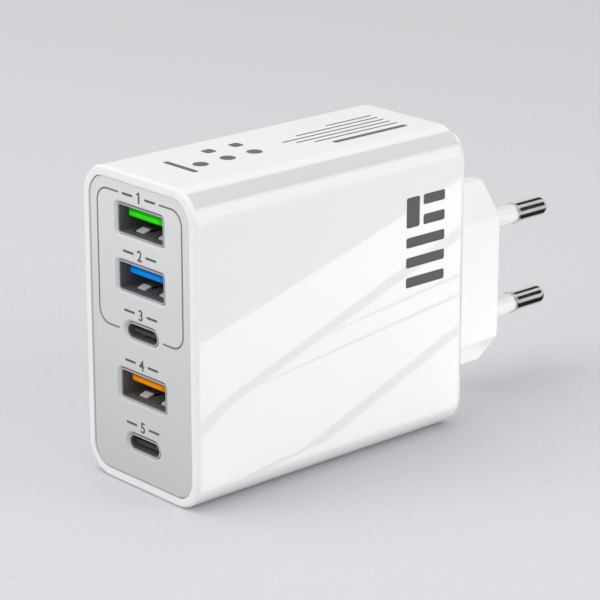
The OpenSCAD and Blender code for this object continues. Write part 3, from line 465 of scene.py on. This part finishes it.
def wound_wire(name, colour, turn, direction):
    """Turns of wire or tape that lie side by side along one axis, with painted shade that darkens the grooves
    between them.
    """
    bands_a_unit, unevenness, groove_depth, groove_shade_share, dull_size = 0.314, 0.6, 0.12 * MM, 0.45, 1.5 * MM
    material, tree, shader = new_graph(name)
    turns = tree.nodes.new("ShaderNodeTexWave")
    turns.bands_direction = direction
    turns.inputs["Scale"].default_value = bands_a_unit / turn
    turns.inputs["Distortion"].default_value = unevenness
    turns.inputs["Detail"].default_value = 2.0
    tree.links.new(object_vector(tree), turns.inputs["Vector"])
    # Painted shade: the colour darkens in the grooves between turns.
    groove_shade = remap(tree, turns.outputs["Fac"], 0.0, 1.0, 0.0, 0.8)
    tree.links.new(tint(tree, groove_shade, shade(colour, groove_shade_share), colour), shader.inputs["Base Color"])
    tree.links.new(bump(tree, turns.outputs["Fac"], groove_depth), shader.inputs["Normal"])
    dull = noise(tree, object_vector(tree), dull_size, 2.0)
    tree.links.new(remap(tree, dull, 0.28, 0.45), shader.inputs["Roughness"])
    return material


def sintered_ferrite(name):
    """Dark pressed ferrite with open pores."""
    pore_size, pore_depth = 0.3 * MM, 0.02 * MM
    pore_black, pressed_grey = (0.022, 0.022, 0.024), (0.045, 0.044, 0.043)
    material, tree, shader = new_graph(name)
    pores = noise(tree, object_vector(tree), pore_size, 6.0)
    pressed = tint(tree, remap(tree, pores, 0.0, 1.0), pore_black, pressed_grey)
    tree.links.new(pressed, shader.inputs["Base Color"])
    tree.links.new(remap(tree, pores, 0.5, 0.72), shader.inputs["Roughness"])
    tree.links.new(bump(tree, pores, pore_depth), shader.inputs["Normal"])
    return material


def shrunk_sleeve(name, colour, stripe):
    """Shrink sleeve of a capacitor with a lighter stripe along its can, where it faces +Y."""
    stripe_edge, crease_size, crease_depth = (0.86, 0.88), 1.2 * MM, 0.02 * MM
    material, tree, shader = new_graph(name)
    place = tree.nodes.new("ShaderNodeTexCoord")
    axes = tree.nodes.new("ShaderNodeSeparateXYZ")
    tree.links.new(place.outputs["Normal"], axes.inputs["Vector"])
    band = remap(tree, axes.outputs["Y"], 0.0, 1.0, *stripe_edge)
    tree.links.new(tint(tree, band, colour, stripe), shader.inputs["Base Color"])
    creases = noise(tree, object_vector(tree, (0.2, 1.0, 1.0)), crease_size, 3.0)
    tree.links.new(remap(tree, creases, 0.22, 0.40), shader.inputs["Roughness"])
    tree.links.new(bump(tree, creases, crease_depth), shader.inputs["Normal"])
    return material


def make_finishes(colours):
    """One finish for each material slot of the record.
    Plastics: colour, roughness, grain size and depth, clear coat and its index. Metals: colour,
    roughness, stretch of the lines, their size and depth. Windings: colour, width of a turn, axis."""
    gold, sheet = (0.80, 0.56, 0.22), (0.74, 0.75, 0.77)
    across, along, pin_lines = (0.1, 1.0, 1.0), (1.0, 0.05, 1.0), (1.0, 6.0, 1.0)
    shell_coat, shell_index, plug_coat, sleeve_coat = 1.0, 2.8, 0.5, 0.3
    plastics = {
        "white_shell": (colours.shell, 0.16, 0.25 * MM, 0.0012 * MM, shell_coat, shell_index),
        "white_plug": (colours.plug, 0.21, 0.22 * MM, 0.002 * MM, plug_coat),
        "sleeve": (colours.sleeve, 0.22, 0.20 * MM, 0.002 * MM, sleeve_coat),
        "black_tongue": ((0.016, 0.016, 0.018), 0.36, 0.15 * MM, 0.003 * MM),
        "yellow_film": ((0.62, 0.42, 0.05), 0.22, 0.8 * MM, 0.01 * MM),
        "black_plastic": ((0.018, 0.018, 0.019), 0.38, 0.2 * MM, 0.006 * MM),
        "yellow_case": ((0.72, 0.48, 0.03), 0.30, 0.3 * MM, 0.008 * MM),
        "blue_coat": ((0.02, 0.09, 0.42), 0.24, 0.9 * MM, 0.03 * MM),
        "brown_case": ((0.06, 0.045, 0.035), 0.34, 0.3 * MM, 0.01 * MM),
        "green_coat": ((0.02, 0.06, 0.03), 0.30, 0.9 * MM, 0.03 * MM),
        "black_epoxy": ((0.012, 0.012, 0.013), 0.46, 0.12 * MM, 0.008 * MM),
        "white_epoxy": ((0.72, 0.72, 0.70), 0.42, 0.12 * MM, 0.008 * MM),
    }
    metals = {
        "nickel": (colours.nickel, 0.13, pin_lines, 0.9 * MM, 0.0015 * MM),
        "gold_contacts": (gold, 0.20, along, 0.10 * MM, 0.002 * MM),
        "bronze": ((0.62, 0.38, 0.20), 0.30, across, 0.15 * MM, 0.003 * MM),
        "aluminium_sheet": (sheet, 0.36, along, 0.2 * MM, 0.004 * MM),
        "aluminium_can": (sheet, 0.24, across, 0.3 * MM, 0.002 * MM),
    }
    windings = {
        "yellow_tape": ((0.70, 0.42, 0.03), 3.4 * MM, "X"),
        "copper": ((0.55, 0.22, 0.08), 0.7 * MM, "Y"),
    }
    finishes = {
        "grey_panel": shaded_panel("grey_panel", colours.panel),
        "socket_steel": socket_sheet("socket_steel", colours.steel),
        "green_tongue": socket_tongue("green_tongue", colours.green, "usb_a1_tongue"),
        "blue_tongue": socket_tongue("blue_tongue", colours.blue, "usb_a2_tongue"),
        "orange_tongue": socket_tongue("orange_tongue", colours.orange, "usb_a3_tongue"),
        "circuit_board": circuit_laminate("circuit_board"),
        "ferrite": sintered_ferrite("ferrite"),
        "black_sleeve": shrunk_sleeve("black_sleeve", (0.014, 0.015, 0.020), (0.34, 0.34, 0.36)),
    }
    for make, table in ((moulded_plastic, plastics), (plated_metal, metals), (wound_wire, windings)):
        finishes |= {name: make(name, *values) for name, values in table.items()}
    return finishes


def give_finish(nodes, colours):
    """Puts each node's finish on its CAD object."""
    finishes = {m["charger_slot"]: m for m in bpy.data.materials if "charger_slot" in m}
    if not finishes:
        finishes = make_finishes(colours)
        for slot, material in finishes.items():
            material["charger_slot"] = slot
    for node in nodes:
        solid = frame["nodes"][node]
        for place in solid.material_slots:
            place.material = finishes[SLOT_OF_NODE[node]]


def finish_ink(name, colour):
    """The ink of that name, made once."""
    return bpy.data.materials.get(name) or printed_ink(name, colour)


def arc(centre, radius, start, stop, steps=10):
    """Points of an arc, angles in degrees."""
    turns = [math.radians(start + (stop - start) * i / steps) for i in range(steps + 1)]
    return [(centre[0] + radius * math.cos(a), centre[1] + radius * math.sin(a)) for a in turns]


def ribbon(path, width):
    """Closed outline of a line of the given width along an open path."""
    points = [Vector(p) for p in path]
    left, right = [], []
    for i, point in enumerate(points):
        ahead = points[min(i + 1, len(points) - 1)] - points[max(i - 1, 0)]
        across = Vector((-ahead.y, ahead.x)).normalized() * width / 2
        left.append(point + across)
        right.append(point - across)
    return list(zip(left, left[1:], right[1:], right))


def rounded_bar(low, high, radius, steps=6):
    """Outline of a bar with round corners between two opposite corners."""
    (u0, v0), (u1, v1) = low, high
    return [
        *arc((u1 - radius, v1 - radius), radius, 0, 90, steps),
        *arc((u0 + radius, v1 - radius), radius, 90, 180, steps),
        *arc((u0 + radius, v0 + radius), radius, 180, 270, steps),
        *arc((u1 - radius, v0 + radius), radius, 270, 360, steps),
    ]


def front_face(u, v, out):
    """Point on the socket panel: across, up and out of it."""
    return Vector((u, panel_low.y - out, v))


def side_face(u, v, out):
    """Point on the housing's +X side: along +Y, up and out of it."""
    return Vector((body_high.x + out, u, v))


def top_face(u, v, out):
    """Point on the housing's top: across, along +Y and out of it."""
    return Vector((u, v, body_high.z + out))


def print_piece(name, faces, face_point, thickness, material):
    """Thin solid ink of flat faces, each a list of points that share edges where they meet."""
    mesh = bmesh.new()
    for face in faces:
        mesh.faces.new([mesh.verts.new(face_point(u, v, 0.0)) for u, v in face])
    bmesh.ops.remove_doubles(mesh, verts=mesh.verts, dist=1e-7)
    out = face_point(0.0, 0.0, thickness) - face_point(0.0, 0.0, 0.0)
    grown = bmesh.ops.extrude_face_region(mesh, geom=mesh.faces[:])
    moved = [g for g in grown["geom"] if isinstance(g, bmesh.types.BMVert)]
    bmesh.ops.translate(mesh, verts=moved, vec=out)
    bmesh.ops.recalc_face_normals(mesh, faces=mesh.faces)
    data = bpy.data.meshes.new(name)
    mesh.to_mesh(data)
    mesh.free()
    data.materials.append(material)
    add_print(data)


def add_print(data):
    """Puts a mesh of ink in the scene as a piece of the charger."""
    piece = bpy.data.objects.new(data.name, data)
    bpy.context.scene.collection.objects.link(piece)
    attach(piece, "root")


class CHARGER_OT_mouldings(bpy.types.Operator):
    """Finish the white housing, the grey panel and the plug block"""

    bl_idname = "charger.mouldings"
    bl_label = "Finish Mouldings"

    def execute(self, context):
        give_finish(("housing", "front_panel", "plug_block"), context.scene.charger_colours)
        return {"FINISHED"}


class CHARGER_OT_pins(bpy.types.Operator):
    """Finish the nickel-plated pins and their sleeves"""

    bl_idname = "charger.pins"
    bl_label = "Finish Pins"

    def execute(self, context):
        nodes = [n for n in SLOT_OF_NODE if n.startswith("pin_")]
        give_finish(nodes, context.scene.charger_colours)
        return {"FINISHED"}


class CHARGER_OT_sockets(bpy.types.Operator):
    """Finish the shells, tongues and contacts of the sockets"""

    bl_idname = "charger.sockets"
    bl_label = "Finish Sockets"

    def execute(self, context):
        nodes = [n for n in SLOT_OF_NODE if n.startswith(SOCKETS)]
        give_finish(nodes, context.scene.charger_colours)
        return {"FINISHED"}


class CHARGER_OT_electronics(bpy.types.Operator):
    """Finish the boards and the parts on them, inside the housing"""

    bl_idname = "charger.electronics"
    bl_label = "Finish Electronics"

    def execute(self, context):
        outer = ("housing", "front_panel", "plug_block", "pin_", *SOCKETS)
        nodes = [n for n in SLOT_OF_NODE if not n.startswith(outer)]
        give_finish(nodes, context.scene.charger_colours)
        return {"FINISHED"}


class CHARGER_OT_frame_line(bpy.types.Operator):
    """Print the line that frames the three upper sockets"""

    bl_idname = "charger.frame_line"
    bl_label = "Print Frame Line"

    def execute(self, context):
        sizes, colours = context.scene.charger_sizes, context.scene.charger_colours
        half, low, high, r = sizes.line_half, sizes.line_low, sizes.line_high, sizes.line_corner
        path = [
            (sizes.top_gap, high),
            *arc((half - r, high - r), r, 90, 0),
            *arc((half - r, low + r), r, 0, -90),
            (sizes.foot_gap, low),
        ]
        faces = []
        for side in (1, -1):
            faces += ribbon([(side * u, v) for u, v in path], sizes.line_width)
        ink = finish_ink("line_ink", colours.line_ink)
        print_piece("panel_frame_line", faces, front_face, sizes.ink_thickness, ink)
        return {"FINISHED"}


class CHARGER_OT_numbers(bpy.types.Operator):
    """Print a plain number above each socket"""

    bl_idname = "charger.numbers"
    bl_label = "Print Numbers"

    def print_one(self, sizes, ink):
        """Draws the figure one with a flag, which the plain font leaves out. The shares are of its height."""
        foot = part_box(f"{SOCKETS[0]}_shell")[1].z + sizes.number_rise
        stem, reach, drop, flag = 0.15, 0.27, 0.20, 0.16
        outline = (
            (-stem / 2, 0.0), (stem, 0.0), (stem, 1.0), (-stem / 2, 1.0),
            (-reach, 1.0 - drop), (-reach, 1.0 - drop - flag), (-stem / 2, 1.0 - flag),
        )
        face = [(u * sizes.number_height, foot + v * sizes.number_height) for u, v in outline]
        print_piece("socket_number_1", [face], front_face, sizes.ink_thickness, ink)

    def execute(self, context):
        sizes, colours = context.scene.charger_sizes, context.scene.charger_colours
        ink = finish_ink("dark_ink", colours.ink)
        capital_share = 0.73
        self.print_one(sizes, ink)
        for count, socket in enumerate(SOCKETS[1:], start=2):
            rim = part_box(f"{socket}_shell")[1].z
            curve = bpy.data.curves.new(f"number_{count}_outline", "FONT")
            curve.body = str(count)
            curve.size = sizes.number_height / capital_share
            curve.align_x = "CENTER"
            curve.extrude = sizes.ink_thickness / 2
            curve.offset = sizes.number_weight
            outline = bpy.data.objects.new(f"number_{count}_outline", curve)
            context.scene.collection.objects.link(outline)
            context.view_layer.update()
            data = bpy.data.meshes.new_from_object(outline.evaluated_get(context.evaluated_depsgraph_get()))
            bpy.data.objects.remove(outline)
            data.name = f"socket_number_{count}"
            data.transform(Matrix.Rotation(math.radians(90), 4, "X"))
            middle = panel_low.y - sizes.ink_thickness / 2
            data.transform(Matrix.Translation((0.0, middle, rim + sizes.number_rise)))
            data.materials.clear()
            data.materials.append(ink)
            add_print(data)
        dashes, dash_round = [], 0.3
        for socket in SOCKETS:
            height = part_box(f"{socket}_shell")[1].z + sizes.number_rise + sizes.number_height / 2
            for start in (sizes.dash_in, -sizes.dash_in - sizes.dash_length):
                low = (start, height - sizes.dash_width / 2)
                high = (start + sizes.dash_length, height + sizes.dash_width / 2)
                dashes.append(rounded_bar(low, high, sizes.dash_width * dash_round, 3))
        print_piece("number_dashes", dashes, front_face, sizes.ink_thickness, ink)
        return {"FINISHED"}


class CHARGER_OT_side_mark(bpy.types.Operator):
    """Print a plain block and a row of bars on the side, near the plug"""

    bl_idname = "charger.side_mark"
    bl_label = "Print Side Mark"

    def execute(self, context):
        sizes, colours = context.scene.charger_sizes, context.scene.charger_colours
        pitch = (sizes.bar_top - sizes.bar_foot - sizes.bar_width) / (sizes.bar_count - 1)
        first_short = sizes.bar_count - sizes.block_bars
        bar_round = 0.2
        start, radius = sizes.bar_front - sizes.bar_length, sizes.bar_width * bar_round
        block_low = (start, sizes.bar_foot + first_short * pitch)
        block_high = (start + sizes.block_width, sizes.bar_top)
        faces = [rounded_bar(block_low, block_high, radius)]
        for i in range(sizes.bar_count):
            left = start if i < first_short else block_high[0] + sizes.block_gap
            low = (left, sizes.bar_foot + i * pitch)
            faces.append(rounded_bar(low, (sizes.bar_front, low[1] + sizes.bar_width), radius))
        ink = finish_ink("dark_ink", colours.ink)
        print_piece("side_mark", faces, side_face, sizes.ink_thickness, ink)
        return {"FINISHED"}


class CHARGER_OT_top_mark(bpy.types.Operator):
    """Print plain fine bars and dots on the top"""

    bl_idname = "charger.top_mark"
    bl_label = "Print Top Mark"

    def execute(self, context):
        sizes, colours = context.scene.charger_sizes, context.scene.charger_colours
        faces, row_round, dot_sides = [], 0.25, 24
        for middle, front, rear, width in TOP_ROWS:
            low = ((middle - width / 2) * MM, front * MM)
            high = ((middle + width / 2) * MM, rear * MM)
            faces.append(rounded_bar(low, high, min(width, rear - front) * row_round * MM, 3))
        for across, along, radius in TOP_DOTS:
            last = 360 - 360 / dot_sides
            faces.append(arc((across * MM, along * MM), radius * MM, 0, last, dot_sides - 1))
        ink = finish_ink("dark_ink", colours.ink)
        print_piece("top_mark", faces, top_face, sizes.ink_thickness, ink)
        return {"FINISHED"}


def make_floor(studio):
    """Wide pale floor with a faint grain."""
    half, below, grain_size, worn_share, dull = 6.0, 0.01 * MM, 1.2 * MM, 0.97, 0.7
    data = bpy.data.meshes.new("floor")
    corners = [(-half, -half, 0), (half, -half, 0), (half, half, 0), (-half, half, 0)]
    data.from_pydata(corners, [], [(0, 1, 2, 3)])
    floor = bpy.data.objects.new("floor", data)
    floor.location.z = cad_low.z - below
    bpy.context.scene.collection.objects.link(floor)
    material, tree, shader = new_graph("floor")
    grain = noise(tree, object_vector(tree), grain_size, 5.0)
    speckle = tint(tree, remap(tree, grain, 0.0, 1.0), shade(studio.floor, worn_share), studio.floor)
    tree.links.new(speckle, shader.inputs["Base Color"])
    shader.inputs["Roughness"].default_value = dull
    shader.inputs["Specular IOR Level"].default_value = 0.0
    data.materials.append(material)


def mirror_spot(studio, along, up):
    """Floor point that the +X side mirrors to the camera from the face point (along, up)."""
    eye = Vector(studio.camera_place)
    eye.x = 2 * body_high.x - eye.x
    face = Vector((body_high.x, along, up))
    return eye + (face - eye) * eye.z / (eye.z - up)


def back_vector(studio):
    """Direction from the charger to the camera."""
    return Vector((
        math.sin(studio.azimuth) * math.cos(studio.elevation),
        -math.cos(studio.azimuth) * math.cos(studio.elevation),
        math.sin(studio.elevation),
    ))


def mirror_ray(studio, point, turn):
    """Where the camera looks by way of a round surface along +Y at a point, its normal turned up
    from +X by so many degrees."""
    normal = Vector((math.cos(math.radians(turn)), 0.0, math.sin(math.radians(turn))))
    back = (Vector(studio.camera_place) - point).normalized()
    return 2 * normal.dot(back) * normal - back


def gloss_only(name, points, faces, material):
    """Stage piece that only shows in reflections."""
    data = bpy.data.meshes.new(name)
    data.from_pydata(points, [], faces)
    data.materials.append(material)
    piece = bpy.data.objects.new(name, data)
    for kind in ("camera", "diffuse", "shadow", "transmission"):
        setattr(piece, f"visible_{kind}", False)
    bpy.context.scene.collection.objects.link(piece)


def glow_material(name, near, far, start=0.0, stop=1.0):
    """Plain glow that runs from near to far strength between two places along +Y."""
    material = bpy.data.materials.new(name)
    material.use_nodes = True
    tree = material.node_tree
    tree.nodes.clear()
    output = tree.nodes.new("ShaderNodeOutputMaterial")
    glow = tree.nodes.new("ShaderNodeEmission")
    tree.links.new(remap(tree, node_axis(tree, "Y"), near, far, start, stop), glow.inputs["Strength"])
    tree.links.new(glow.outputs["Emission"], output.inputs["Surface"])
    return material


def make_light_cards(studio):
    """Cards on the floor that leave slanting streaks on the +X side, over one wide dimmer card."""
    near_share, far_place, wide_lift, streak_lift = 0.85, 120 * MM, 0.05 * MM, 0.1 * MM
    base = glow_material("card_base", studio.card_base, studio.card_base)
    streak = glow_material("light_card", studio.card_glow * near_share, studio.card_glow, 0.0, far_place)
    cards = [(WIDE_CARD, base, wide_lift), *((card, streak, streak_lift) for card in STREAK_CARDS)]
    for count, (corners, material, lift) in enumerate(cards):
        rise = Vector((0.0, 0.0, lift))
        points = [mirror_spot(studio, along * MM, up * MM) + rise for along, up in corners]
        gloss_only(f"light_card_{count}", points, [tuple(range(len(points)))], material)


def make_flags(studio):
    """Flags that leave dark bands along the round top edge and along the pins. The black edge flag
    hangs a little nearer than the grey one, and a flag that would sink ends just over the floor."""
    black = glow_material("black_flag", studio.black_flag, studio.black_flag)
    grey = glow_material("grey_flag", studio.grey_flag, studio.grey_flag)
    far, close, nearer, steps, over_floor = 0.8, 0.25, 0.98, 8, 0.2 * MM
    edge_inset, edge_margin, pin_behind, pin_ahead = 2 * MM, 1 * MM, 28 * MM, 60 * MM
    edge = Vector((body_high.x - edge_inset, 0.0, body_high.z - edge_inset))
    edge_reach = (body_low.y - edge_margin, body_high.y + edge_margin)
    edge_makes = ((grey, far), (black, far * nearer))
    bands = [
        (name, *make, edge, edge_reach, turns) for (name, *turns), make in zip(EDGE_BANDS, edge_makes)
    ]
    for pin in ("pin_upper", "pin_lower"):
        low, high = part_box(pin)
        middle = Vector((0.0, 0.0, (low.z + high.z) / 2))
        reach = (high.y - pin_behind, high.y + pin_ahead)
        bands += [(f"{pin}_{name}", black, close, middle, reach, turns) for name, *turns in PIN_BANDS]
    for name, material, away, line, reach, (low, high) in bands:
        points = []
        for i in range(steps + 1):
            for y in reach:
                point = Vector((line.x, y, line.z))
                ray = mirror_ray(studio, point, low + (high - low) * i / steps)
                lands = (point.z - over_floor) / -ray.z if ray.z < 0 else away
                points.append(point + ray * min(lands, away))
        faces = [(2 * i, 2 * i + 1, 2 * i + 3, 2 * i + 2) for i in range(steps)]
        gloss_only(name, points, faces, material)


def make_lamp(name, place, side, power, aim=None):
    """Square soft lamp without a highlight, aimed at the charger's middle unless told."""
    light = bpy.data.lights.new(name, "AREA")
    light.shape = "SQUARE"
    light.size = side
    light.energy = power
    lamp = bpy.data.objects.new(name, light)
    lamp.location = place
    lamp.visible_glossy = False
    lamp.visible_camera = False
    aim = aim or (body_low + body_high) / 2
    lamp.rotation_euler = (aim - Vector(place)).to_track_quat("-Z", "Y").to_euler()
    bpy.context.scene.collection.objects.link(lamp)


def make_sky(studio):
    """Even light all round. The camera, gloss and glass see it at strength 1."""
    world = bpy.data.worlds.new("sky")
    bpy.context.scene.world = world
    world.use_nodes = True
    tree = world.node_tree
    tree.nodes.clear()
    output = tree.nodes.new("ShaderNodeOutputWorld")
    sky = tree.nodes.new("ShaderNodeBackground")
    path = tree.nodes.new("ShaderNodeLightPath")
    seen = path.outputs["Is Camera Ray"]
    for kind in ("Is Glossy Ray", "Is Transmission Ray"):
        seen = both(tree, seen, path.outputs[kind], "MAXIMUM")
    tree.links.new(remap(tree, seen, studio.sky, 1.0, 0.0, 1.0), sky.inputs["Strength"])
    tree.links.new(sky.outputs["Background"], output.inputs["Surface"])


def make_camera(studio):
    """Camera at the set place and angle."""
    sensor_width, clip_start = 36.0, 0.01
    data = bpy.data.cameras.new("camera")
    data.sensor_width = sensor_width
    data.lens = studio.lens
    data.clip_start = clip_start
    camera = bpy.data.objects.new("camera", data)
    camera.location = studio.camera_place
    camera.rotation_euler = (-back_vector(studio)).to_track_quat("-Z", "Y").to_euler()
    bpy.context.scene.collection.objects.link(camera)
    bpy.context.scene.camera = camera


class CHARGER_OT_stage(bpy.types.Operator):
    """Set up the floor, the light and the camera"""

    bl_idname = "charger.stage"
    bl_label = "Set Up Studio"

    def execute(self, context):
        studio = context.scene.charger_studio
        context.scene.view_settings.view_transform = "Standard"
        make_floor(studio)
        make_light_cards(studio)
        make_flags(studio)
        make_sky(studio)
        for name, place, side, power in LAMPS:
            make_lamp(name, place, getattr(studio, side), getattr(studio, power))
        foot_across, foot_gap, foot_rise = 30 * MM, 2 * MM, 1 * MM
        foot = Vector((foot_across, body_high.y + studio.foot_side / 2 + foot_gap, foot_rise))
        above = foot + Vector((0.0, 0.0, 1.0))
        make_lamp("foot_lamp", foot, studio.foot_side, studio.foot_power, above)
        make_camera(studio)
        return {"FINISHED"}


STEPS = (
    CHARGER_OT_stage,
    CHARGER_OT_mouldings,
    CHARGER_OT_pins,
    CHARGER_OT_sockets,
    CHARGER_OT_electronics,
    CHARGER_OT_frame_line,
    CHARGER_OT_numbers,
    CHARGER_OT_side_mark,
    CHARGER_OT_top_mark,
)


class CHARGER_PT_panel(bpy.types.Panel):
    """Lists the charger's settings and steps"""

    bl_idname = "CHARGER_PT_panel"
    bl_label = "Wall Charger"
    bl_space_type = "VIEW_3D"
    bl_region_type = "UI"
    bl_category = "Charger"

    def draw(self, context):
        for settings in GROUPS:
            group = getattr(context.scene, settings)
            box = self.layout.box()
            for name in group.__annotations__:
                box.prop(group, name)
        for step in STEPS:
            self.layout.operator(step.bl_idname)


GROUPS = {
    "charger_colours": ChargerColours,
    "charger_sizes": ChargerSizes,
    "charger_studio": ChargerStudio,
}


def register():
    """Adds the settings, the steps and the sidebar panel."""
    for name, group in GROUPS.items():
        bpy.utils.register_class(group)
        setattr(bpy.types.Scene, name, PointerProperty(type=group))
    for cls in (*STEPS, CHARGER_PT_panel):
        bpy.utils.register_class(cls)


def unregister():
    """Takes them out again."""
    for cls in reversed((*STEPS, CHARGER_PT_panel)):
        bpy.utils.unregister_class(cls)
    for name, group in GROUPS.items():
        delattr(bpy.types.Scene, name)
        bpy.utils.unregister_class(group)


def main():
    """Runs every step in order."""
    register()
    for step in STEPS:
        module, name = step.bl_idname.split(".")
        getattr(getattr(bpy.ops, module), name)()


if __name__ == "__main__":
    main()
